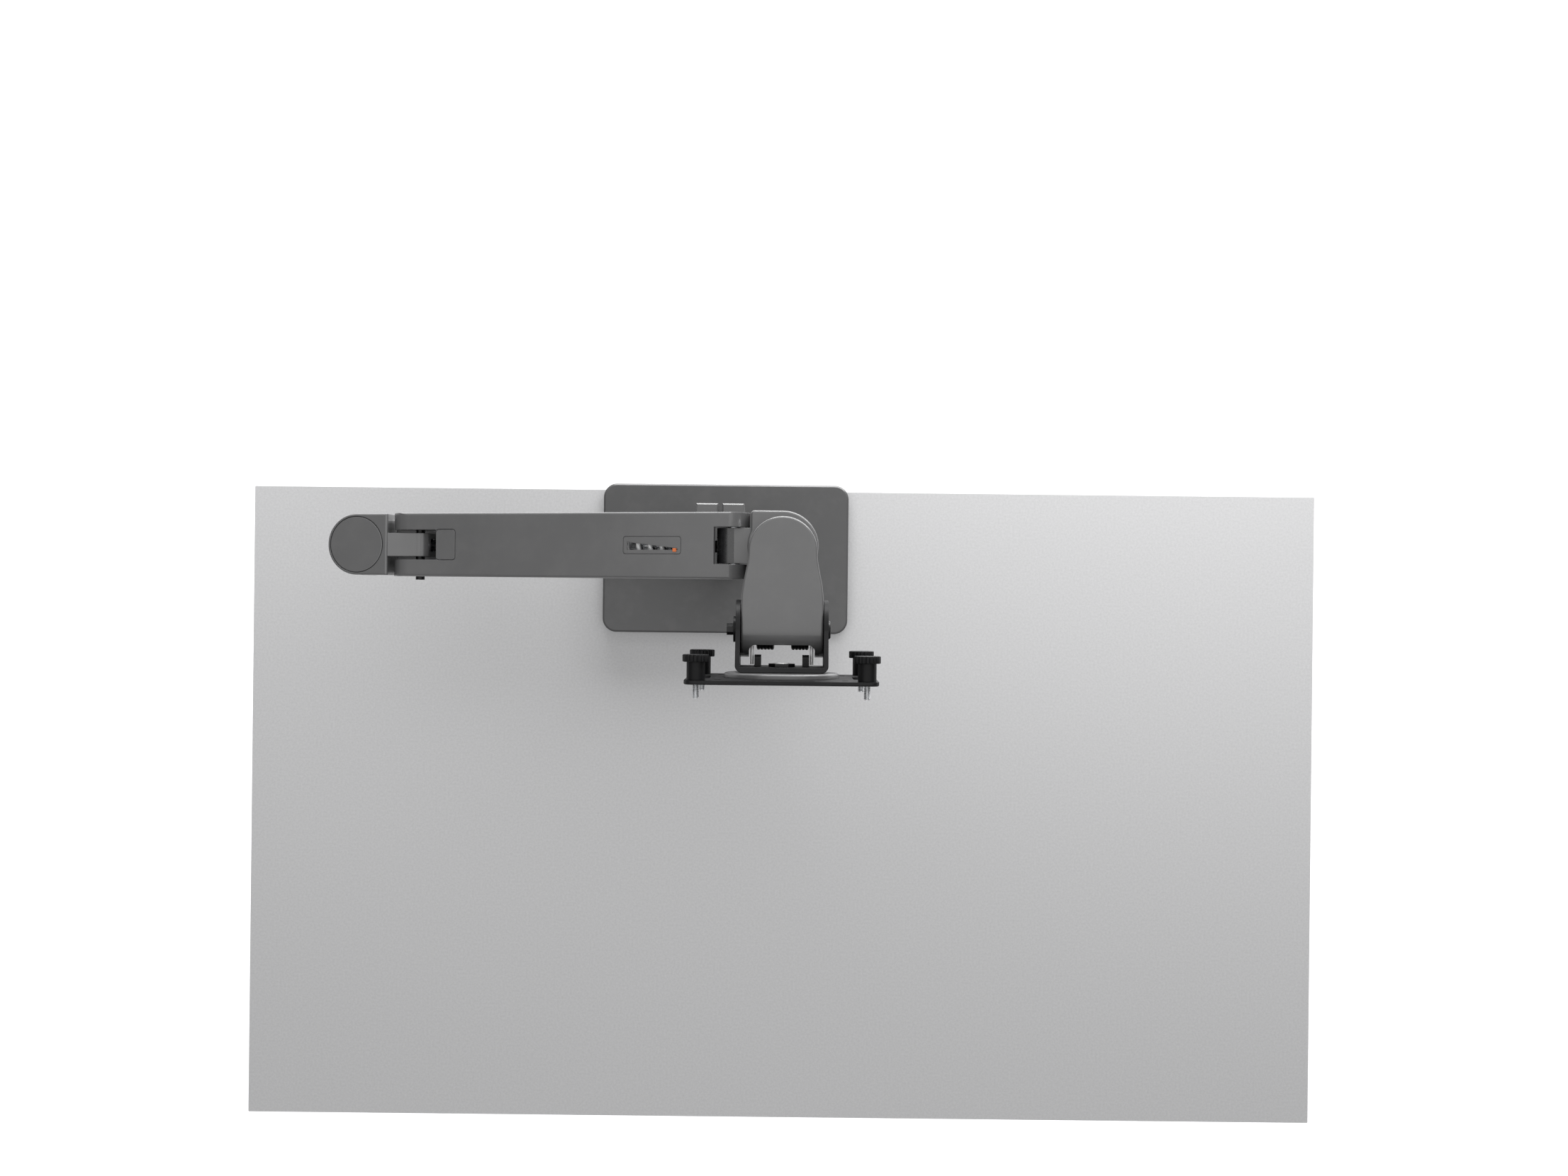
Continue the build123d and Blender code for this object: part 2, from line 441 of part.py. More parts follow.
def head_parts():
    floor = BLOCK_Z[1]
    yoke_top, ear_in, ear_out = floor + 6, 20.3, 21.9
    plan = disc_at(15, PAN_X, ARM_Y) + outline((PAN_X - 17, ARM_Y), (PAN_X + 17, ARM_Y),
                                               (PAN_X + ear_out, -26), (PAN_X + ear_out, -36),
                                               (PAN_X - ear_out, -36), (PAN_X - ear_out, -26))
    yoke = Pos(0, 0, floor + 1.2) * extrude(plan, yoke_top - floor - 1.2)
    ear = disc_at(11.5, TILT_Y, TILT_Z) + outline((-26, floor + 1.2), (-26, yoke_top + 6),
                                                  (TILT_Y, TILT_Z + 11.5), (TILT_Y - 8, TILT_Z - 8),
                                                  (TILT_Y, floor + 1.2))
    for low, high in ((-ear_out, -ear_in), (ear_in, ear_out)):
        yoke += side_view(ear, PAN_X + low, PAN_X + high)
    tongue = outline((-34, floor + 1.2), (-34, yoke_top + 3), (TILT_Y, TILT_Z + 8), (TILT_Y, TILT_Z - 8),
                     (-38, floor + 1.2))
    yoke += side_view(tongue + disc_at(8, TILT_Y, TILT_Z), PAN_X - 3, PAN_X + 3)
    yoke -= rod(5 + FIT, (PAN_X - 30, TILT_Y, TILT_Z), (PAN_X + 30, TILT_Y, TILT_Z))
    yoke -= post(8, PAN_X, ARM_Y, floor, floor + 20)
    shaft = post(8, PAN_X, ARM_Y, BLOCK_Z[0] + 6.5, yoke_top)
    shaft += post(11, PAN_X, ARM_Y, yoke_top, yoke_top + 3)
    washer = ring(18, 8, PAN_X, ARM_Y, floor, floor + 1.2)
    nut = Pos(PAN_X, ARM_Y, BLOCK_Z[0] + 1.4) * extrude(RegularPolygon(11, 6), 5.1)
    shaft += post(6, PAN_X, ARM_Y, BLOCK_Z[0] + 1, BLOCK_Z[0] + 6.5)
    nut -= post(6, PAN_X, ARM_Y, BLOCK_Z[0], BLOCK_Z[0] + 8)
    parts = {"head_yoke": yoke, "head_cover": head_cover(), "pan_shaft": shaft, "pan_washer": washer,
             "pan_nut": nut}
    sleeves, springs, wire, turns, inner = [], [], 1.25, 5, 3.9
    for side in (-1, 1):
        low, high = sorted((side * inner, side * (ear_in - 0.2)))
        tube = rod(9.4, (PAN_X + low, TILT_Y, TILT_Z), (PAN_X + high, TILT_Y, TILT_Z))
        tube -= rod(5.3, (PAN_X - 30, TILT_Y, TILT_Z), (PAN_X + 30, TILT_Y, TILT_Z))
        sleeves.append(tube)
        length = 12.7 - 2 * wire
        spring = coil(12.45 - wire, wire, length / turns, length)
        at = low + wire + 0.3 if side > 0 else high - wire - 0.3 - length
        springs.append(Pos(PAN_X + at, TILT_Y, TILT_Z) * Rot(0, 90, 0) * spring)
    legs = [rod(1.1, (PAN_X + x, TILT_Y - 10, TILT_Z), (PAN_X + x, TILT_Y - 21.4, TILT_Z))
            for x in (-18.2, 18.2)]
    parts["torsion_springs"] = Compound(springs)
    parts["spring_legs"] = Compound(legs)
    parts["spring_sleeves"] = Compound(sleeves)
    return parts


def tilt_parts():
    inside = BRACKET_HALF - U_PLATE
    rear_r, low, high = 18, TILT_Z - 16, VESA_Z + 16
    side = disc_at(rear_r, TILT_Y, TILT_Z) + outline((TILT_Y, TILT_Z + rear_r), (WEB_Y[1], high),
                                                     (WEB_Y[1], low), (TILT_Y, TILT_Z - rear_r))
    bracket = side_view(side, PAN_X - BRACKET_HALF, PAN_X + BRACKET_HALF)
    bracket = fillet(bracket.edges().filter_by(Axis.Z).group_by(Axis.Y)[0], 4)
    bracket -= block((PAN_X - inside, PAN_X + inside), (WEB_Y[0], 0), (low - 20, high + 20))
    bracket -= rod(5 + FIT, (PAN_X - 30, TILT_Y, TILT_Z), (PAN_X + 30, TILT_Y, TILT_Z))
    bracket -= rod(4 + FIT, (PAN_X, WEB_Y[1] - 1, VESA_Z), (PAN_X, WEB_Y[0] + 1, VESA_Z))
    left, right = PAN_X - BRACKET_HALF, PAN_X + BRACKET_HALF
    bolt = rod(5 - 0.01, (left - 1.6, TILT_Y, TILT_Z), (right, TILT_Y, TILT_Z))
    head = Plane(origin=(left - 1.6, TILT_Y, TILT_Z), x_dir=(0, 1, 0), z_dir=(-1, 0, 0))
    bolt += head * extrude(RegularPolygon(3.6, 6), 4.1)
    washer = rod(7.9, (left - 1.6, TILT_Y, TILT_Z), (left, TILT_Y, TILT_Z))
    washer -= rod(5, (left - 3, TILT_Y, TILT_Z), (right, TILT_Y, TILT_Z))
    dome = rod(5.6, (right, TILT_Y, TILT_Z), (right + 1.6, TILT_Y, TILT_Z))
    dome = fillet(dome.edges().filter_by(GeomType.CIRCLE).group_by(Axis.X)[-1], 1.2)
    stops = []
    for side_x in (-14.6, 14.6):
        stop = block((PAN_X + side_x - 2, PAN_X + side_x + 2), (WEB_Y[0], -61.7), (TILT_Z - 8, TILT_Z + 9))
        stops.append(fillet(stop.edges().filter_by(Axis.X).group_by(Axis.Y)[-1], 2))
    return {"u_bracket": bracket, "tilt_bolt": bolt, "tilt_washer": washer, "tilt_nut": dome,
            "spring_stops": Compound(stops)}


def vesa_parts():
    def plate_of(sketch, rear, front):
        return Pos(PAN_X, rear, VESA_Z) * extrude(Plane.XZ * sketch, rear - front)

    rear, front = VESA_PLATE_Y
    disc = plate_of(Circle(DISC_R), WEB_Y[1] - 0.4, rear)
    disc = fillet(disc.edges().filter_by(GeomType.CIRCLE).group_by(Axis.Y)[-1], 1.2)
    outline_sketch = RectangleRounded(VESA_SIZE, VESA_SIZE, 6)
    for x in (-1, 1):
        for z in (-1, 1):
            outline_sketch -= Pos(50 * x, 50 * z) * Circle(2.2) + Pos(37.5 * x, 37.5 * z) * Circle(2.25)
    for angle in range(0, 360, 90):
        outline_sketch -= Rot(0, 0, angle) * Pos(0, 47) * SlotOverall(40, 8)
    plate = plate_of(outline_sketch, rear, front)
    plate = chamfer(plate.faces().sort_by(Axis.Y)[0].outer_wire().edges(), 0.6)
    hole = rod(4, (PAN_X, 0, VESA_Z), (PAN_X, -90, VESA_Z))
    disc -= hole
    plate -= hole
    bolt = rod(4, (PAN_X, -66.2, VESA_Z), (PAN_X, front, VESA_Z))
    nut = Plane(origin=(PAN_X, WEB_Y[0] + 0.1, VESA_Z), x_dir=(1, 0, 0), z_dir=(0, 1, 0)) * extrude(
        RegularPolygon(8, 6), 1.9) - hole
    screws = []
    for x in (-50, 50):
        for z in (-50, 50):
            at = (PAN_X + x, VESA_Z + z)
            screw = rod(5.4, (at[0], rear, at[1]), (at[0], rear + 10.8, at[1]))
            screw += rod(7.9, (at[0], rear + 10.8, at[1]), (at[0], rear + 15.1, at[1]))
            screw = chamfer(screw.edges().filter_by(GeomType.CIRCLE).group_by(Axis.Y)[-1], 0.6)
            square = [(middle - 1.4, middle + 1.4) for middle in at]
            screw += block(square[0], (front, rear), square[1])
            screws.append(screw + rod(2, (at[0], front, at[1]), (at[0], front - 8, at[1])))
    return {"vesa_disc": disc, "vesa_plate": plate, "pivot_bolt": bolt, "pivot_nut": nut,
            "thumbscrews": Compound(screws)}


NODES = {}
for parts in (base_parts(), {"rear_cable_clip": cable_clip()}, clamp_parts(), lower_arm_parts(),
              elbow_parts(), upper_arm_parts(), spring_parts(), front_block_parts(), head_parts(),
              tilt_parts(), vesa_parts()):
    NODES.update(parts)

os.makedirs("parts", exist_ok=True)
for name, shape in NODES.items():
    export_step(shape, f"parts/{name}.step")
    print(f"{name:24s} {shape.volume:12.1f}")
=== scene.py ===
"""Looks of the desk-clamp monitor arm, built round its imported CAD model.

Every length is in metres, in the model's own frame: the origin is under the middle of the base plate,
+Z is up, +Y is the rear of the desk and +X is the user's right.
"""
import json
import logging
import math
from dataclasses import dataclass
from enum import Enum

import bmesh
import bpy
from mathutils import Matrix, Vector


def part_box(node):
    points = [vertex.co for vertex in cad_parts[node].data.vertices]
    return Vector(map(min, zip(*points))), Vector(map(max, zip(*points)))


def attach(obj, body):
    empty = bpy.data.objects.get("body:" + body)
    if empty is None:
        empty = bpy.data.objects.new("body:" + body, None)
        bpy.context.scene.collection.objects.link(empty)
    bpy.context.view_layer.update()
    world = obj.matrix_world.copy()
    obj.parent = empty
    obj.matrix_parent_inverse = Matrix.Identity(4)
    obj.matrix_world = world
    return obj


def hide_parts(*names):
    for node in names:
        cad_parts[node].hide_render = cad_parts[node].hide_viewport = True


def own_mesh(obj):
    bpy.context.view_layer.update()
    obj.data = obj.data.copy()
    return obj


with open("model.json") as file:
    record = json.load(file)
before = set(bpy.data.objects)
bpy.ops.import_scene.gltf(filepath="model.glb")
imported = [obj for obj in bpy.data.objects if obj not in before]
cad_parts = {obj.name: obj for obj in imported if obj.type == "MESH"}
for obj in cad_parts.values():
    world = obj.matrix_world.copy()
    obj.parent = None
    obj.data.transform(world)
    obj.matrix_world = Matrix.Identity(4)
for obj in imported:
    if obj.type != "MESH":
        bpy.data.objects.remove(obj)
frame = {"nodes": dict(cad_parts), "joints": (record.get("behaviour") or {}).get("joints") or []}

LOG = logging.getLogger("monitor_arm")
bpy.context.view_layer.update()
MM = 0.001
SMOOTH_ANGLE = math.radians(35)
SHARP_EDGE = math.radians(50)
WELD_DISTANCE = 1e-6
DUST_COLOUR = (0.42, 0.41, 0.4, 1.0)
DUST_ROUGHENS = 0.5
BUMP_STRENGTH = 0.6


class Coat(Enum):
    """The finishes that the arm's parts come in."""

    CAST_GREY = "cast_grey_paint"
    COVER_GREY = "moulded_grey_cover"
    PLATE_GREY = "plate_grey_powder"
    BLACK_POWDER = "black_powder_coat"
    BLACK_OXIDE = "black_oxide"
    BLACK_NYLON = "black_nylon"
    PAINTED_SHADE_SHEET = "glossy_painted_shade_sheet"
    # A thin dark glossy sheet on the front barrel: painted shade in the fork's slot.
    RUBBER = "black_rubber"
    ZINC = "zinc_plated_steel"
    # Spring steel whose near-white colour is a painted highlight for the glints of polished steel.
    GLINT_WHITE_STEEL = "spring_steel_painted_glint"
    ORANGE = "orange_marker"
    BRONZE = "sintered_bronze"


# ------------------------------------------------------------------ shader groups
class Bench:
    """Adds and wires the nodes of one material or one node group."""

    def __init__(self, tree: bpy.types.NodeTree) -> None:
        """Keep the tree that the nodes go in."""
        self.tree = tree

    def add(self, kind: str, **values: object) -> bpy.types.Node:
        """Add a node and fill its sockets.

        Args:
            kind: The node's type name.
            values: Socket values by socket name, with underscores for spaces; a socket is linked.

        Returns:
            The new node.
        """
        node = self.tree.nodes.new(kind)
        for name, value in values.items():
            self.feed(node, name.replace("_", " "), value)
        return node

    def group(self, tree: bpy.types.NodeTree, **values: object) -> bpy.types.Node:
        """Add a shared shader group and fill its sockets.

        Args:
            tree: The group's own tree.
            values: Socket values by socket name.

        Returns:
            The new group node.
        """
        node = self.tree.nodes.new("ShaderNodeGroup")
        node.node_tree = tree
        for name, value in values.items():
            self.feed(node, name, value)
        return node

    def wire(self, socket: bpy.types.NodeSocket, value: object) -> None:
        """Fill an input socket.

        Args:
            socket: The input.
            value: Another node's output, which is linked, or the value that the socket holds.
        """
        if isinstance(value, bpy.types.NodeSocket):
            self.tree.links.new(value, socket)
        else:
            socket.default_value = value

    def feed(self, node: bpy.types.Node, name: str, value: object) -> None:
        """Fill a node's input by its name."""
        self.wire(node.inputs[name], value)

    def math(self, operation: str, first: object, second: object) -> bpy.types.NodeSocket:
        """Work out a sum on two values.

        Args:
            operation: The Math node's operation.
            first: The first value or socket.
            second: The second value or socket.

        Returns:
            The result.
        """
        node = self.tree.nodes.new("ShaderNodeMath")
        node.operation = operation
        for socket, value in zip(node.inputs, (first, second)):
            self.wire(socket, value)
        return node.outputs[0]

    def product(self, first: object, second: object) -> bpy.types.NodeSocket:
        """Return two values multiplied."""
        return self.math("MULTIPLY", first, second)

    def spread(self, value: bpy.types.NodeSocket, low: float, high: float,
               out_low: float = 0.0, out_high: float = 1.0) -> bpy.types.NodeSocket:
        """Map a value from one range to another, with a smooth step.

        Args:
            value: The value's socket.
            low: Where its range starts.
            high: Where its range ends.
            out_low: What the start becomes.
            out_high: What the end becomes.

        Returns:
            The mapped value.
        """
        node = self.add("ShaderNodeMapRange", Value=value, From_Min=low, From_Max=high,
                        To_Min=out_low, To_Max=out_high)
        node.interpolation_type = "SMOOTHSTEP"
        return node.outputs["Result"]

    def noise(self, place: bpy.types.NodeSocket, scale: object, detail: float = 3.0,
              roughness: float = 0.5) -> bpy.types.NodeSocket:
        """Add a noise texture.

        Args:
            place: The coordinates that it reads.
            scale: How fine it is.
            detail: How many finer layers it has.
            roughness: How strong those layers are.

        Returns:
            The noise's factor.
        """
        node = self.add("ShaderNodeTexNoise", Vector=place, Scale=scale, Detail=detail, Roughness=roughness)
        return node.outputs["Fac"]

    def mix(self, factor: object, first: object, second: object) -> bpy.types.NodeSocket:
        """Mix two colours.

        Args:
            factor: How much of the second there is.
            first: The first colour.
            second: The second colour.

        Returns:
            The mixed colour.
        """
        node = self.tree.nodes.new("ShaderNodeMix")
        node.data_type = "RGBA"
        for index, value in ((0, factor), (6, first), (7, second)):
            self.wire(node.inputs[index], value)
        return node.outputs[2]


@dataclass(frozen=True)
class GroupSocket:
    """One named input or output of a shader group."""

    name: str
    kind: str = "NodeSocketFloat"
    value: float | None = None


class ShaderGroups:
    """The effects that several finishes share, each built once."""

    def __init__(self) -> None:
        """Build every group."""
        self.edge = self._edge_wear()
        self.grain = self._fine_grain()
        self.dust = self._dust_film()
        self.turned = self._turning_lines()

    @staticmethod
    def _open(name: str, inputs: list[GroupSocket],
              outputs: list[GroupSocket]) -> tuple[Bench, dict, bpy.types.Node]:
        """Start a group.

        Args:
            name: The group's name.
            inputs: Its input sockets.
            outputs: Its output sockets.

        Returns:
            The bench, the group's inputs by name, and its output node.
        """
        tree = bpy.data.node_groups.new(name, "ShaderNodeTree")
        for item, way in [(i, "INPUT") for i in inputs] + [(o, "OUTPUT") for o in outputs]:
            socket = tree.interface.new_socket(name=item.name, in_out=way, socket_type=item.kind)
            if item.value is not None:
                socket.default_value = item.value
        bench = Bench(tree)
        entry = tree.nodes.new("NodeGroupInput")
        exit_node = tree.nodes.new("NodeGroupOutput")
        return bench, {i.name: entry.outputs[i.name] for i in inputs}, exit_node

    def _edge_wear(self) -> bpy.types.NodeTree:
        """Rounded edge normals, and a broken mask along the edges where paint rubs thin.

        Returns:
            The group.
        """
        bench, given, out = self._open(
            "EdgeWear",
            [GroupSocket("Place", "NodeSocketVector"), GroupSocket("Radius", value=0.0006),
             GroupSocket("Amount", value=0.3)],
            [GroupSocket("Wear"), GroupSocket("Normal", "NodeSocketVector")])
        bevel = bench.add("ShaderNodeBevel", Radius=given["Radius"])
        bevel.samples = 6
        geometry = bench.add("ShaderNodeNewGeometry")
        dot = bench.tree.nodes.new("ShaderNodeVectorMath")
        dot.operation = "DOT_PRODUCT"
        bench.tree.links.new(bevel.outputs[0], dot.inputs[0])
        bench.tree.links.new(geometry.outputs["Normal"], dot.inputs[1])
        turn = bench.spread(dot.outputs["Value"], low=0.995, high=0.8)
        chips = bench.noise(given["Place"], scale=420.0, detail=4.0, roughness=0.65)
        broken = bench.spread(chips, low=0.42, high=0.68)
        wear = bench.product(bench.product(turn, broken), given["Amount"])
        bench.feed(out, "Wear", wear)
        bench.feed(out, "Normal", bevel.outputs[0])
        return bench.tree

    def _fine_grain(self) -> bpy.types.NodeTree:
        """Orange-peel and fine speckle of a sprayed or moulded skin.

        Returns:
            The group.
        """
        bench, given, out = self._open(
            "FineGrain",
            [GroupSocket("Place", "NodeSocketVector"), GroupSocket("Scale", value=1500.0)],
            [GroupSocket("Height"), GroupSocket("Tone")])
        finer, peel_height, fine_tone = 3.7, 0.65, 0.45
        peel = bench.noise(given["Place"], given["Scale"], detail=2.0, roughness=0.45)
        fine = bench.noise(given["Place"], bench.product(given["Scale"], finer), detail=3.0, roughness=0.6)
        broad = bench.noise(given["Place"], scale=22.0)
        height = bench.math("ADD", bench.product(peel, peel_height), bench.product(fine, 1 - peel_height))
        tone = bench.math("ADD", bench.product(fine, fine_tone), bench.product(broad, 1 - fine_tone))
        bench.feed(out, "Height", height)
        bench.feed(out, "Tone", bench.spread(tone, low=0.3, high=0.7))
        return bench.tree

    def _dust_film(self) -> bpy.types.NodeTree:
        """Thin dust that settles in patches on faces that look up.

        Returns:
            The group.
        """
        bench, given, out = self._open(
            "DustFilm", [GroupSocket("Place", "NodeSocketVector"), GroupSocket("Amount", value=0.1)],
            [GroupSocket("Dust")])
        geometry = bench.add("ShaderNodeNewGeometry")
        split = bench.add("ShaderNodeSeparateXYZ", Vector=geometry.outputs["Normal"])
        upward = bench.spread(split.outputs["Z"], low=0.55, high=0.98)
        drift = bench.noise(given["Place"], scale=60.0, detail=5.0, roughness=0.62)
        patch = bench.spread(drift, low=0.4, high=0.75)
        bench.feed(out, "Dust", bench.product(bench.product(upward, patch), given["Amount"]))
        return bench.tree

    def _turning_lines(self) -> bpy.types.NodeTree:
        """Fine tool lines of a turned or drawn metal part.

        Returns:
            The group.
        """
        bench, given, out = self._open(
            "TurningLines", [GroupSocket("Place", "NodeSocketVector"), GroupSocket("Scale", value=900.0)],
            [GroupSocket("Height"), GroupSocket("Tone")])
        lines = bench.add("ShaderNodeTexWave", Vector=given["Place"], Scale=given["Scale"], Distortion=1.5,
                          Detail=2.0)
        lines.bands_direction = "DIAGONAL"
        scuff = bench.noise(given["Place"], scale=260.0, detail=4.0, roughness=0.6)
        bench.feed(out, "Height", lines.outputs["Fac"])
        bench.feed(out, "Tone", bench.spread(scuff, low=0.3, high=0.7))
        return bench.tree


# ------------------------------------------------------------------ finishes
@dataclass(frozen=True)
class Finish:
    """A finish: its colours, its skin, and how it wears."""

    colour: tuple[float, float, float]
    shade: float = 0.12
    worn: tuple[float, float, float] = (0.3, 0.3, 0.3)
    wear: float = 0.2
    dust: float = 0.05
    roughness: tuple[float, float] = (0.4, 0.5)
    grain_scale: float = 1500.0
    grain_depth: float = 0.00002
    metallic: float = 0.0
    coat: float = 0.0
    coat_roughness: float = 0.16
    specular: float = 0.5
    edge_radius: float = 0.0005
    turned: bool = False

    def build(self, name: str, groups: ShaderGroups) -> bpy.types.Material:
        """Make the material.

        Args:
            name: The material's name.
            groups: The shared shader groups.

        Returns:
            The finished material.
        """
        material = bpy.data.materials.new(name)
        material.use_nodes = True
        bench = Bench(material.node_tree)
        bsdf = next(n for n in bench.tree.nodes if n.type == "BSDF_PRINCIPLED")
        place = bench.add("ShaderNodeTexCoord").outputs["Object"]

        skin = bench.group(groups.turned if self.turned else groups.grain, Place=place,
                           Scale=self.grain_scale)
        edge = bench.group(groups.edge, Place=place, Radius=self.edge_radius, Amount=self.wear)
        film = bench.group(groups.dust, Place=place, Amount=self.dust)

        light = (*[min(1.0, c * (1 + self.shade)) for c in self.colour], 1.0)
        dark = (*[c * (1 - self.shade) for c in self.colour], 1.0)
        base = bench.mix(skin.outputs["Tone"], dark, light)
        base = bench.mix(edge.outputs["Wear"], base, (*self.worn, 1.0))
        base = bench.mix(film.outputs["Dust"], base, DUST_COLOUR)
        rough = bench.math("ADD", bench.spread(skin.outputs["Tone"], 0.0, 1.0, *self.roughness),
                           bench.product(film.outputs["Dust"], DUST_ROUGHENS))
        bump = bench.add("ShaderNodeBump", Height=skin.outputs["Height"], Distance=self.grain_depth,
                         Strength=BUMP_STRENGTH, Normal=edge.outputs["Normal"])
        bench.feed(bsdf, "Base Color", base)
        bench.feed(bsdf, "Roughness", rough)
        bench.feed(bsdf, "Normal", bump.outputs["Normal"])
        bench.feed(bsdf, "Metallic", self.metallic)
        bench.feed(bsdf, "Coat Weight", self.coat)
        bench.feed(bsdf, "Coat Roughness", self.coat_roughness)
        bench.feed(bsdf, "Specular IOR Level", self.specular)
        return material


FINISHES: dict[Coat, Finish] = {
    Coat.CAST_GREY: Finish((0.102, 0.102, 0.103), shade=0.05, worn=(0.2, 0.2, 0.2), wear=0.2, dust=0.03,
                           roughness=(0.36, 0.46), grain_scale=1300.0, grain_depth=0.000008, coat=0.6,
                           edge_radius=0.0009),
    Coat.COVER_GREY: Finish((0.088, 0.088, 0.089), shade=0.04, worn=(0.18, 0.18, 0.18), wear=0.15, dust=0.03,
                            roughness=(0.38, 0.46), grain_scale=1900.0, grain_depth=0.000006, coat=0.6,
                            edge_radius=0.001),
    Coat.PLATE_GREY: Finish((0.066, 0.066, 0.067), shade=0.06, worn=(0.16, 0.16, 0.16), wear=0.3, dust=0.04,
                            roughness=(0.42, 0.54), grain_scale=1000.0, grain_depth=0.00001, coat=0.35,
                            edge_radius=0.0009),
    Coat.BLACK_POWDER: Finish((0.006, 0.006, 0.0065), shade=0.2, worn=(0.05, 0.05, 0.05), wear=0.3,
                              dust=0.01, roughness=(0.38, 0.52), grain_scale=900.0, grain_depth=0.00003,
                              specular=0.2, edge_radius=0.0004),
    Coat.BLACK_OXIDE: Finish((0.004, 0.004, 0.0045), shade=0.3, worn=(0.08, 0.08, 0.08), wear=0.3, dust=0.0,
                             roughness=(0.28, 0.42), grain_scale=1800.0, grain_depth=0.000015,
                             specular=0.35, edge_radius=0.0003),
    Coat.BLACK_NYLON: Finish((0.004, 0.004, 0.0045), shade=0.2, worn=(0.03, 0.03, 0.03), wear=0.2, dust=0.01,
                             roughness=(0.42, 0.58), grain_scale=1500.0, grain_depth=0.00004,
                             specular=0.16, edge_radius=0.0004),
    # Near-black glossy colour for the sheet on the front barrel: painted shade.
    Coat.PAINTED_SHADE_SHEET: Finish((0.02, 0.02, 0.021), shade=0.2, worn=(0.06, 0.06, 0.06), wear=0.1, dust=0.0,
                              roughness=(0.18, 0.28), grain_scale=700.0, grain_depth=0.00001, coat=0.4,
                              edge_radius=0.0003, turned=True),
    Coat.RUBBER: Finish((0.018, 0.018, 0.018), shade=0.2, worn=(0.05, 0.05, 0.05), wear=0.1, dust=0.1,
                        roughness=(0.75, 0.9), grain_scale=1100.0, grain_depth=0.00006,
                        edge_radius=0.0005),
    Coat.ZINC: Finish((0.55, 0.56, 0.57), shade=0.15, worn=(0.75, 0.75, 0.75), wear=0.3, dust=0.0,
                      roughness=(0.24, 0.38), grain_scale=700.0, grain_depth=0.000008, metallic=1.0,
                      edge_radius=0.0003, turned=True),
    # Near-white, barely metallic colour: a painted highlight standing in for the glints of polished spring
    # steel.
    Coat.GLINT_WHITE_STEEL: Finish((0.95, 0.95, 0.95), shade=0.04, worn=(0.9, 0.9, 0.9), wear=0.1, dust=0.0,
                              roughness=(0.25, 0.38), grain_scale=500.0, grain_depth=0.000005,
                              metallic=0.15, edge_radius=0.0002, turned=True),
    Coat.ORANGE: Finish((0.62, 0.15, 0.035), shade=0.08, worn=(0.8, 0.35, 0.15), wear=0.1, dust=0.0,
                        roughness=(0.35, 0.45), grain_scale=2000.0, grain_depth=0.00001,
                        edge_radius=0.0002),
    Coat.BRONZE: Finish((0.42, 0.28, 0.13), shade=0.15, worn=(0.6, 0.45, 0.25), wear=0.2, dust=0.0,
                        roughness=(0.4, 0.55), grain_scale=2600.0, grain_depth=0.00002, metallic=1.0,
                        edge_radius=0.0003),
}


class PaintShop:
    """Makes each material once and puts it on CAD parts and new pieces."""

    def __init__(self) -> None:
        """Build the shared groups and every finish."""
        groups = ShaderGroups()
        self.materials = {coat: finish.build(coat.value, groups) for coat, finish in FINISHES.items()}

    def coat_nodes(self, coat: Coat, *names: str) -> None:
        """Give CAD parts a finish.

        Args:
            coat: The finish.
            names: The CAD parts' names.
        """
        for name in names:
            slots = frame["nodes"][name].data.materials
            slots.clear()
            slots.append(self.materials[coat])
            LOG.info("dressed %s in %s", name, coat.value)

    def coat_piece(self, coat: Coat, piece: bpy.types.Object) -> None:
        """Give a new piece a finish."""
        piece.data.materials.append(self.materials[coat])


# ------------------------------------------------------------------ mesh work
def finish_mesh(name: str, bm: bmesh.types.BMesh, place: Matrix | None = None) -> bpy.types.Object:
    """Turn a bmesh into a piece at the origin.

    Args:
        name: The piece's name.
        bm: Its mesh, which is freed.
        place: Where the mesh goes, if it was drawn at the origin.

    Returns:
        The new object, linked to the scene.
    """
    if place is not None:
        bmesh.ops.transform(bm, matrix=place, verts=bm.verts)
    bmesh.ops.remove_doubles(bm, verts=bm.verts, dist=WELD_DISTANCE)
    bmesh.ops.recalc_face_normals(bm, faces=bm.faces)
    for face in bm.faces:
        face.smooth = True
    mesh = bpy.data.meshes.new(name)
    bm.to_mesh(mesh)
    bm.free()
    mesh.set_sharp_from_angle(angle=SMOOTH_ANGLE)
    piece = bpy.data.objects.new(name, mesh)
    bpy.context.scene.collection.objects.link(piece)
    return piece


def aim(start: Vector, direction: Vector) -> Matrix:
    """Return the placement that turns +Z to a direction and moves the origin to a point."""
    return Matrix.Translation(start) @ direction.to_track_quat("Z", "Y").to_matrix().to_4x4()


def add_drum(bm: bmesh.types.BMesh, radius: float, low: float, high: float, segments: int = 64) -> dict:
    """Add a capped cylinder on the Z axis between two heights."""
    return bmesh.ops.create_cone(bm, cap_ends=True, segments=segments, radius1=radius, radius2=radius,
                                 depth=high - low, matrix=Matrix.Translation((0, 0, (low + high) / 2)))


def break_edges(bm: bmesh.types.BMesh, edges: list, width: float, segments: int = 2) -> None:
    """Round the given edges by a small bevel."""
    bmesh.ops.bevel(bm, geom=edges, offset=width, segments=segments, profile=0.5, affect="EDGES",
                    material=-1, clamp_overlap=True)


def rim_edges(bm: bmesh.types.BMesh, sharper: float = SHARP_EDGE) -> list:
    """Return the edges where two faces meet at a sharp angle."""
    return [e for e in bm.edges if len(e.link_faces) == 2 and e.calc_face_angle(0.0) > sharper]


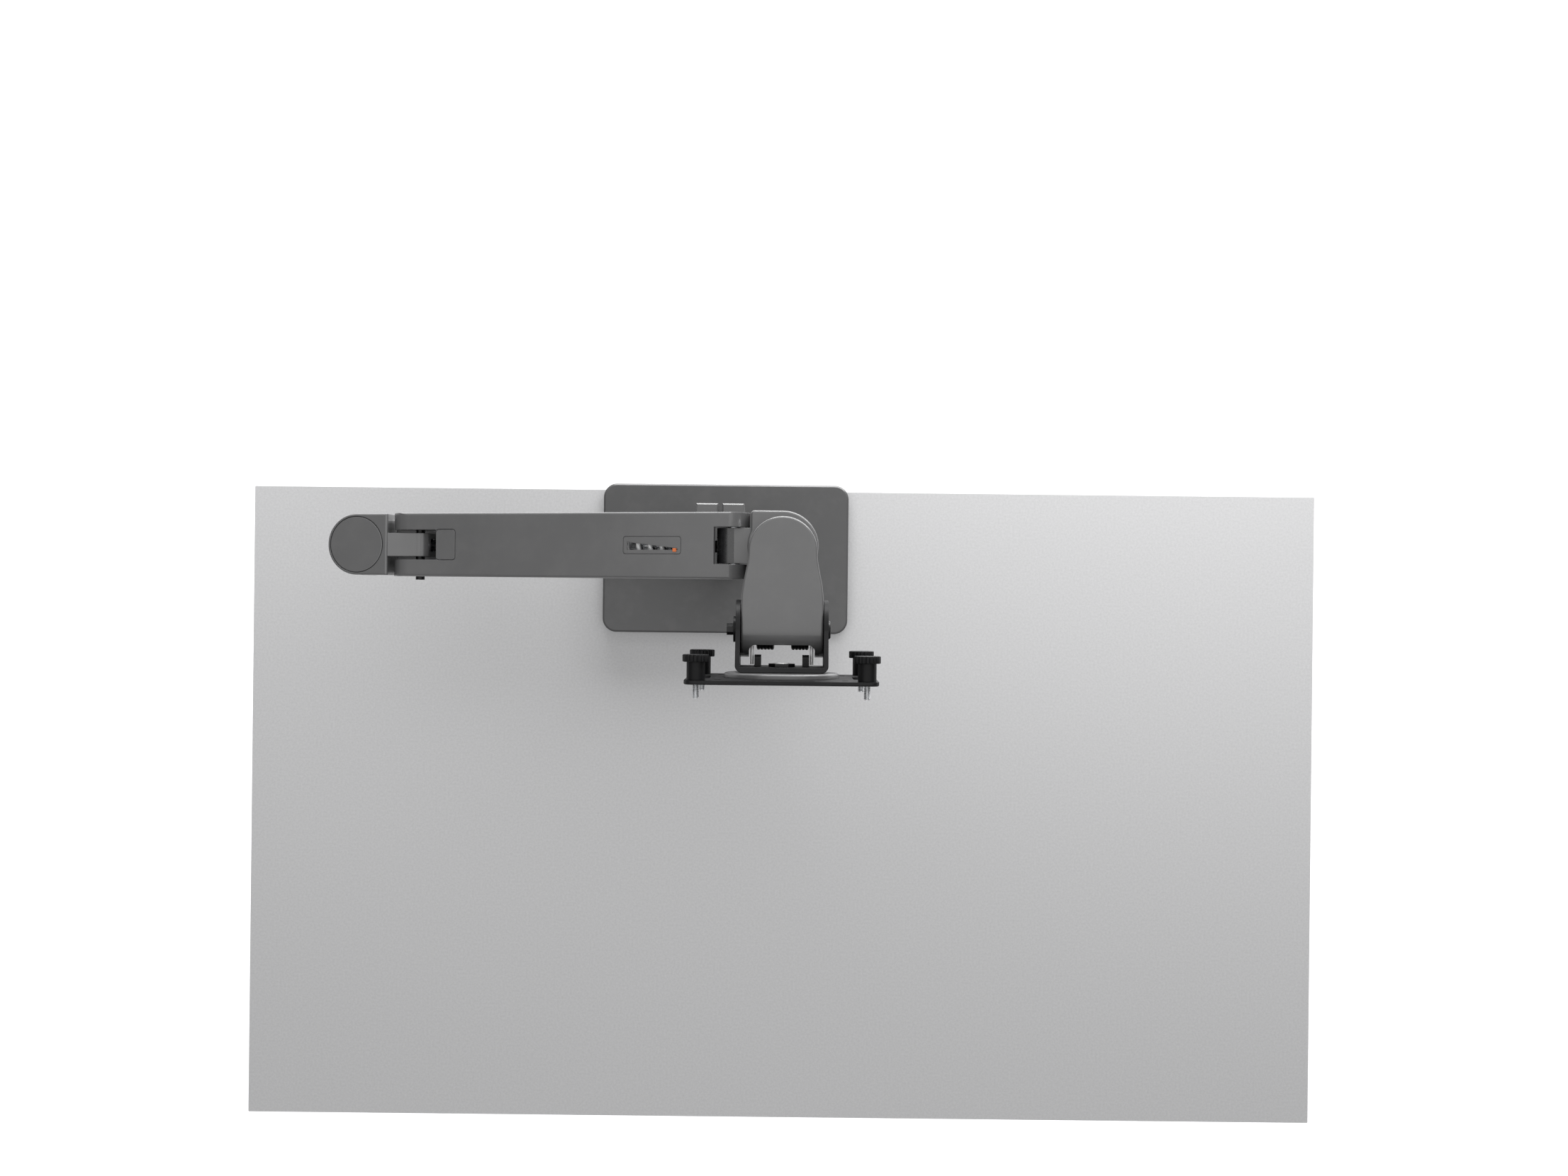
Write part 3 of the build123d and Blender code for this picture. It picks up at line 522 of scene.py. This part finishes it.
@dataclass
class Helix:
    """A round wire or a thread's ridge wound about the Z axis."""

    radius: float
    pitch: float
    turns: float
    steps_per_turn: int = 28

    def sweep(self, bm: bmesh.types.BMesh, profile: list, start: float) -> None:
        """Wind a closed profile up the axis.

        Args:
            bm: The mesh that it goes in.
            profile: The profile's points, as distance out from the helix and height above it.
            start: Height of the first turn.
        """
        verts = [bm.verts.new((self.radius + out, 0.0, start + up)) for out, up in profile]
        face = bm.faces.new(verts)
        edges = list(face.edges)
        bm.faces.remove(face)
        steps = max(3, round(self.turns * self.steps_per_turn))
        rise = self.pitch * self.turns / steps
        bmesh.ops.spin(bm, geom=edges + verts, cent=(0, 0, 0), axis=(0, 0, 1), dvec=(0, 0, rise),
                       angle=self.turns * math.tau, steps=steps, use_duplicate=False)
        ends = [e for e in bm.edges if e.is_boundary]
        bmesh.ops.holes_fill(bm, edges=ends, sides=len(profile))


def wire_profile(radius: float, sides: int = 12) -> list:
    """Return the points of a round wire's section."""
    return [(radius * math.cos(math.tau * k / sides), radius * math.sin(math.tau * k / sides))
            for k in range(sides)]


# ------------------------------------------------------------------ sub-assemblies
@dataclass
class DeskClamp:
    """Base plate, column and the clamp under the desk."""

    shop: PaintShop
    thread_pitch: float = 2.0 * MM
    thread_depth: float = 0.7 * MM
    thread_root: float = 0.1 * MM
    ridge_fill: float = 0.46
    crest_share: float = 0.2
    plain_end: float = 6.0 * MM
    tip_round: float = 0.5 * MM

    def build(self) -> None:
        """Cut the clamp screw's thread, and dress the clamp's parts."""
        low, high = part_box("clamp_screw")
        centre = (low + high) / 2
        radius, length = (high.x - low.x) / 2, high.z - low.z
        bm = bmesh.new()
        add_drum(bm, radius - self.thread_depth, 0.0, length)
        break_edges(bm, rim_edges(bm), self.tip_round)
        turns = (length - 2 * self.plain_end) / self.thread_pitch
        half = self.thread_pitch * self.ridge_fill
        crest = half * self.crest_share
        tooth = [(-self.thread_root, -half), (self.thread_depth, -crest), (self.thread_depth, crest),
                 (-self.thread_root, half)]
        thread = Helix(radius - self.thread_depth, self.thread_pitch, turns, steps_per_turn=24)
        thread.sweep(bm, tooth, self.plain_end)
        screw = finish_mesh("threaded_clamp_screw", bm, Matrix.Translation((centre.x, centre.y, low.z)))
        self.shop.coat_piece(Coat.ZINC, screw)
        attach(screw, "clamp_screw")
        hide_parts("clamp_screw")
        LOG.info("built %s", screw.name)

        coat = self.shop.coat_nodes
        coat(Coat.PLATE_GREY, "base_plate")
        coat(Coat.CAST_GREY, "column", "rear_cable_clip")
        coat(Coat.BLACK_POWDER, "clamp_bracket", "lower_jaw", "clamp_pad")
        coat(Coat.BLACK_OXIDE, "jaw_screws")
        coat(Coat.BLACK_NYLON, "clamp_knob")
        coat(Coat.RUBBER, "desk_pad", "clamp_pad_rubber")
        coat(Coat.ZINC, "column_bolt", "column_nut", "bracket_screws")
        coat(Coat.BRONZE, "column_thrust_washer")


@dataclass
class LowerArm:
    """The level arm on the column, and the elbow block that turns on its far end."""

    shop: PaintShop

    def build(self) -> None:
        """Dress the lower arm and the elbow."""
        coat = self.shop.coat_nodes
        coat(Coat.CAST_GREY, "lower_arm_beam", "hub_cap", "elbow_block", "elbow_cap")
        coat(Coat.BLACK_NYLON, "lower_cable_cover", "column_bushes", "elbow_washer", "elbow_bush")
        coat(Coat.ZINC, "elbow_shaft", "elbow_nut", "elbow_link_pins")


@dataclass
class UpperArm:
    """The spring-balanced arm: its shell, gauge, spring and links."""

    shop: PaintShop
    nut_along: float = 193.4 * MM
    nut_above: float = 3.0 * MM
    coil_from: float = 82.0 * MM
    coil_to: float = 192.0 * MM
    coil_radius: float = 7.9 * MM
    wire_radius: float = 1.5 * MM
    pitch: float = 8.3 * MM
    tension_travel: float = 31.0 * MM
    barrel_radius: float = 10.5 * MM
    # Wall and wrap of the thin dark sheet on the front barrel, which is painted shade.
    shade_sheet_wall: float = 0.25 * MM
    shade_sheet_wrap: float = math.radians(150)

    @staticmethod
    def joint_point(name: str) -> Vector:
        """Return where a joint's axis stands."""
        return Vector(next(j["pos_m"] for j in frame["joints"] if j["name"] == name))

    def spring_line(self) -> tuple[Vector, Vector]:
        """Find the line that the spring is wound on.

        Returns:
            The push rod's pin, and the direction from it to the tension nut.
        """
        rear, front = self.joint_point("lift"), self.joint_point("front_level")
        along = (front - rear).normalized()
        above = Vector((-along.z, 0.0, along.x))
        start = self.joint_point("push_rod_swing")
        nut = rear + along * self.nut_along + above * self.nut_above
        return start, (nut - start).normalized()

    def build_spring(self) -> None:
        """Wind the balance spring on its line, between the rod's collar and the tension nut."""
        start, direction = self.spring_line()
        bm = bmesh.new()
        length = self.coil_to - self.coil_from
        rise = length - 2 * self.wire_radius
        coil = Helix(self.coil_radius, self.pitch, rise / self.pitch, steps_per_turn=32)
        coil.sweep(bm, wire_profile(self.wire_radius), self.coil_from + self.wire_radius)
        spring = finish_mesh("wound_balance_spring", bm, aim(start, direction))
        # The spring's near-white colour is a painted highlight for its glints.
        self.shop.coat_piece(Coat.GLINT_WHITE_STEEL, spring)
        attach(spring, "upper_arm")
        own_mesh(spring)
        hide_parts("balance_spring")
        LOG.info("built %s", spring.name)

    def build_shade_sheet(self) -> None:
        """Wrap a thin dark glossy sheet round the front barrel, from over its top to under its rear, as
        painted shade in the fork's slot.
        """
        low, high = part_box("tie_pin_front")
        pin = self.joint_point("front_level")
        bm = bmesh.new()
        ends = [bm.verts.new((pin.x, y, pin.z + self.barrel_radius)) for y in (low.y, high.y)]
        strip = bm.edges.new(ends)
        bmesh.ops.spin(bm, geom=[strip, *ends], cent=pin, axis=(0, -1, 0), angle=self.shade_sheet_wrap, steps=48,
                       use_duplicate=False)
        bmesh.ops.recalc_face_normals(bm, faces=bm.faces)
        bmesh.ops.solidify(bm, geom=list(bm.faces), thickness=-self.shade_sheet_wall)
        # A dark sheet on the barrel: painted shade in the fork's slot.
        shade_sheet = finish_mesh("front_barrel_painted_shade_sheet", bm)
        self.shop.coat_piece(Coat.PAINTED_SHADE_SHEET, shade_sheet)
        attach(shade_sheet, "front_block")
        LOG.info("built %s", shade_sheet.name)

    def build(self) -> None:
        """Wind the spring, wrap the painted-shade sheet round the front barrel and dress the arm."""
        self.build_spring()
        self.build_shade_sheet()
        coat = self.shop.coat_nodes
        coat(Coat.CAST_GREY, "upper_arm_shell", "slot_cover", "gauge_plate", "front_block")
        coat(Coat.BLACK_OXIDE, "rear_pin", "rod_collar", "tie_bar", "screw_bracket")
        coat(Coat.ZINC, "front_pin", "push_rod", "tension_screw", "tension_nut", "tie_pin_front")
        coat(Coat.ORANGE, "tension_pointer")
        coat(Coat.BLACK_NYLON, "pan_bush")


@dataclass
class Head:
    """Pan shaft, yoke, cover and tilt hinge."""

    shop: PaintShop

    def build(self) -> None:
        """Dress the head and the tilt bracket."""
        coat = self.shop.coat_nodes
        coat(Coat.COVER_GREY, "head_cover")
        coat(Coat.BLACK_POWDER, "head_yoke", "u_bracket", "tilt_washer", "spring_stops")
        coat(Coat.BLACK_OXIDE, "torsion_springs", "tilt_bolt", "tilt_nut")
        coat(Coat.BLACK_NYLON, "spring_sleeves")
        # The spring legs' near-white colour is a painted highlight.
        coat(Coat.GLINT_WHITE_STEEL, "spring_legs")
        coat(Coat.ZINC, "pan_shaft", "pan_nut", "pan_washer")


@dataclass
class VesaPlate:
    """The turning disc, the plate and its thumbscrews."""

    shop: PaintShop
    head_radius: float = 7.8 * MM
    head_thick: float = 4.3 * MM
    neck_radius: float = 5.4 * MM
    neck_length: float = 10.8 * MM
    neck_sunk: float = 0.2 * MM
    flutes: int = 18
    flute_share: float = 0.94
    grip_round: float = 0.45 * MM
    grip_edge: float = math.radians(70)
    stud_radius: float = 2.0 * MM
    stud_sunk: float = 0.5 * MM
    stud_pitch: float = 0.7 * MM
    thread_depth: float = 0.3 * MM
    thread_root: float = 0.05 * MM
    thread_margin: float = 0.6 * MM
    ridge_fill: float = 0.48
    spacing: float = 100.0 * MM

    def thumbscrew(self, name: str, at: Vector, stud_length: float) -> None:
        """Build one fluted thumbscrew and its threaded stud.

        Args:
            name: The piece's name.
            at: Where the screw's axis meets the plate's rear face.
            stud_length: How far the stud reaches forward of that face.
        """
        place = aim(at, Vector((0, 1, 0)))
        bm = bmesh.new()
        sides_per_flute = 4
        sides = self.flutes * sides_per_flute
        grip = add_drum(bm, self.head_radius, self.neck_length, self.neck_length + self.head_thick, sides)
        for vert in grip["verts"]:
            side = round(math.atan2(vert.co.y, vert.co.x) / math.tau * sides)
            if side % sides_per_flute == 0:
                vert.co.x *= self.flute_share
                vert.co.y *= self.flute_share
        break_edges(bm, rim_edges(bm, self.grip_edge), self.grip_round)
        add_drum(bm, self.neck_radius, 0.0, self.neck_length + self.neck_sunk, 48)
        head = finish_mesh(name, bm, place)
        self.shop.coat_piece(Coat.BLACK_NYLON, head)

        bm = bmesh.new()
        core = self.stud_radius - self.thread_depth
        add_drum(bm, core, -stud_length, self.stud_sunk, 32)
        turns = (stud_length - 2 * self.thread_margin) / self.stud_pitch
        half = self.stud_pitch * self.ridge_fill
        ridge = [(-self.thread_root, -half), (self.thread_depth, 0.0), (-self.thread_root, half)]
        thread = Helix(core, self.stud_pitch, turns, steps_per_turn=20)
        thread.sweep(bm, ridge, self.thread_margin - stud_length)
        stud = finish_mesh(f"{name}_stud", bm, place)
        self.shop.coat_piece(Coat.ZINC, stud)
        for piece, slot in ((head, "black_plastic"), (stud, "bright_steel")):
            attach(piece, "vesa")
            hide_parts("thumbscrews")
            LOG.info("built %s", piece.name)

    def build(self) -> None:
        """Build the thumbscrews and dress the plate."""
        low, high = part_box("vesa_plate")
        centre = (low + high) / 2
        stud_length = high.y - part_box("thumbscrews")[0].y
        half = self.spacing / 2
        for side, x in (("left", -half), ("right", half)):
            for level, z in (("upper", half), ("lower", -half)):
                self.thumbscrew(f"thumbscrew_{level}_{side}", Vector((centre.x + x, high.y, centre.z + z)),
                                stud_length)
        coat = self.shop.coat_nodes
        coat(Coat.CAST_GREY, "vesa_disc")
        coat(Coat.BLACK_POWDER, "vesa_plate")
        coat(Coat.BLACK_OXIDE, "pivot_nut")
        # The pivot bolt's near-white colour paints the glint at its end.
        coat(Coat.GLINT_WHITE_STEEL, "pivot_bolt")
        coat(Coat.BLACK_NYLON, "thumbscrews")


# ------------------------------------------------------------------ stage
@dataclass(frozen=True)
class Lamp:
    """A soft rectangular light: where it hangs, its width and height, and its power in watts."""

    name: str
    at: tuple[float, float, float]
    size: tuple[float, float]
    power: float

    def hang(self, target: tuple[float, float, float]) -> None:
        """Hang the light.

        Args:
            target: What it points at.
        """
        light = bpy.data.lights.new(self.name, "AREA")
        light.shape = "RECTANGLE"
        light.size, light.size_y = self.size
        light.energy = self.power
        lamp = bpy.data.objects.new(self.name, light)
        lamp.location = self.at
        lamp.rotation_euler = (Vector(target) - Vector(self.at)).to_track_quat("-Z", "Y").to_euler()
        bpy.context.scene.collection.objects.link(lamp)


@dataclass
class Stage:
    """The desk top that the clamp grips, a pale floor below it, and the light."""

    desk_x: tuple[float, float] = (-0.345, 0.43)
    desk_y: tuple[float, float] = (-0.408, 0.0498)
    desk_thick: float = 0.025
    desk_round: float = 0.0006
    floor_z: float = -0.73
    floor_reach: float = 6.0
    lamps: tuple[Lamp, ...] = (Lamp("overhead_softbox", (0.0, 0.2, 3.2), (6.5, 6.5), 165.0),
                               Lamp("rear_rim_light", (0.55, 2.1, 0.22), (3.0, 0.9), 110.0))
    lamp_target: tuple[float, float, float] = (0.0, 0.0, 0.15)
    surround_light: float = 0.2
    camera_at: tuple[float, float, float] = (0.0427, -0.0208, 1.593)
    camera_roll: float = math.radians(0.63)
    focal_length: float = 50.0
    sensor_width: float = 36.0
    clip_end: float = 20.0

    @staticmethod
    def surface(name: str, colour: float, speckle: float, glow: float = 0.0) -> bpy.types.Material:
        """Make a plain pale material with a fine even grain.

        Args:
            name: The material's name.
            colour: Its grey level.
            speckle: How far the grain strays from it.
            glow: How much light it gives out.

        Returns:
            The material.
        """
        material = bpy.data.materials.new(name)
        material.use_nodes = True
        bench = Bench(material.node_tree)
        bsdf = next(n for n in bench.tree.nodes if n.type == "BSDF_PRINCIPLED")
        place = bench.add("ShaderNodeTexCoord").outputs["Object"]
        grain = bench.noise(place, scale=650.0, roughness=0.7)
        cool = 1.01
        low, high = colour * (1 - speckle), colour * (1 + speckle)
        tint = bench.mix(bench.spread(grain, low=0.25, high=0.75), (low, low, low * cool, 1.0),
                         (high, high, high * cool, 1.0))
        bench.feed(bsdf, "Base Color", tint)
        bench.feed(bsdf, "Roughness", 0.7)
        bench.feed(bsdf, "Specular IOR Level", 0.2)
        bench.feed(bsdf, "Emission Color", (1.0, 1.0, 1.0, 1.0))
        bench.feed(bsdf, "Emission Strength", glow)
        return material

    def build_desk(self) -> None:
        """Build the desk top and the floor."""
        bm = bmesh.new()
        bmesh.ops.create_cube(bm, size=1.0)
        (x0, x1), (y0, y1) = self.desk_x, self.desk_y
        bmesh.ops.scale(bm, vec=(x1 - x0, y1 - y0, self.desk_thick), verts=bm.verts)
        bmesh.ops.translate(bm, vec=((x0 + x1) / 2, (y0 + y1) / 2, -self.desk_thick / 2), verts=bm.verts)
        break_edges(bm, list(bm.edges), self.desk_round)
        desk = finish_mesh("desk_top", bm)
        desk.data.materials.append(self.surface("desk_laminate", colour=0.5, speckle=0.06))
        bm = bmesh.new()
        bmesh.ops.create_grid(bm, x_segments=1, y_segments=1, size=self.floor_reach)
        bmesh.ops.translate(bm, vec=(0, 0, self.floor_z), verts=bm.verts)
        floor = finish_mesh("pale_floor", bm)
        floor.data.materials.append(self.surface("pale_floor", colour=0.9, speckle=0.01, glow=0.25))

    def build_light(self) -> None:
        """Hang the lamps and set the plain white surround."""
        for lamp in self.lamps:
            lamp.hang(self.lamp_target)
        world = bpy.data.worlds.new("white_surround")
        world.use_nodes = True
        bench = Bench(world.node_tree)
        background = next(n for n in bench.tree.nodes if n.type == "BACKGROUND")
        path = bench.add("ShaderNodeLightPath")
        dim = (self.surround_light, self.surround_light, self.surround_light, 1.0)
        shown = bench.mix(path.outputs["Is Camera Ray"], dim, (1.0, 1.0, 1.0, 1.0))
        bench.feed(background, "Color", shown)
        bpy.context.scene.world = world
        bpy.context.scene.view_settings.view_transform = "Standard"

    def build_camera(self) -> None:
        """Set the camera straight above the desk."""
        camera = bpy.data.cameras.new("overhead_camera")
        camera.lens = self.focal_length
        camera.sensor_width = self.sensor_width
        camera.clip_end = self.clip_end
        holder = bpy.data.objects.new("overhead_camera", camera)
        holder.location = self.camera_at
        holder.rotation_euler = (0.0, 0.0, self.camera_roll)
        bpy.context.scene.collection.objects.link(holder)
        bpy.context.scene.camera = holder

    def build(self) -> None:
        """Build the whole stage."""
        self.build_camera()
        self.build_desk()
        self.build_light()


def main() -> None:
    """Build the looks, one sub-assembly after another."""
    logging.basicConfig(level=logging.INFO, format="%(name)s: %(message)s")
    shop = PaintShop()
    for assembly in (Stage(), DeskClamp(shop), LowerArm(shop), UpperArm(shop), Head(shop), VesaPlate(shop)):
        LOG.info("building %s", type(assembly).__name__)
        assembly.build()


if __name__ == "__main__":
    main()
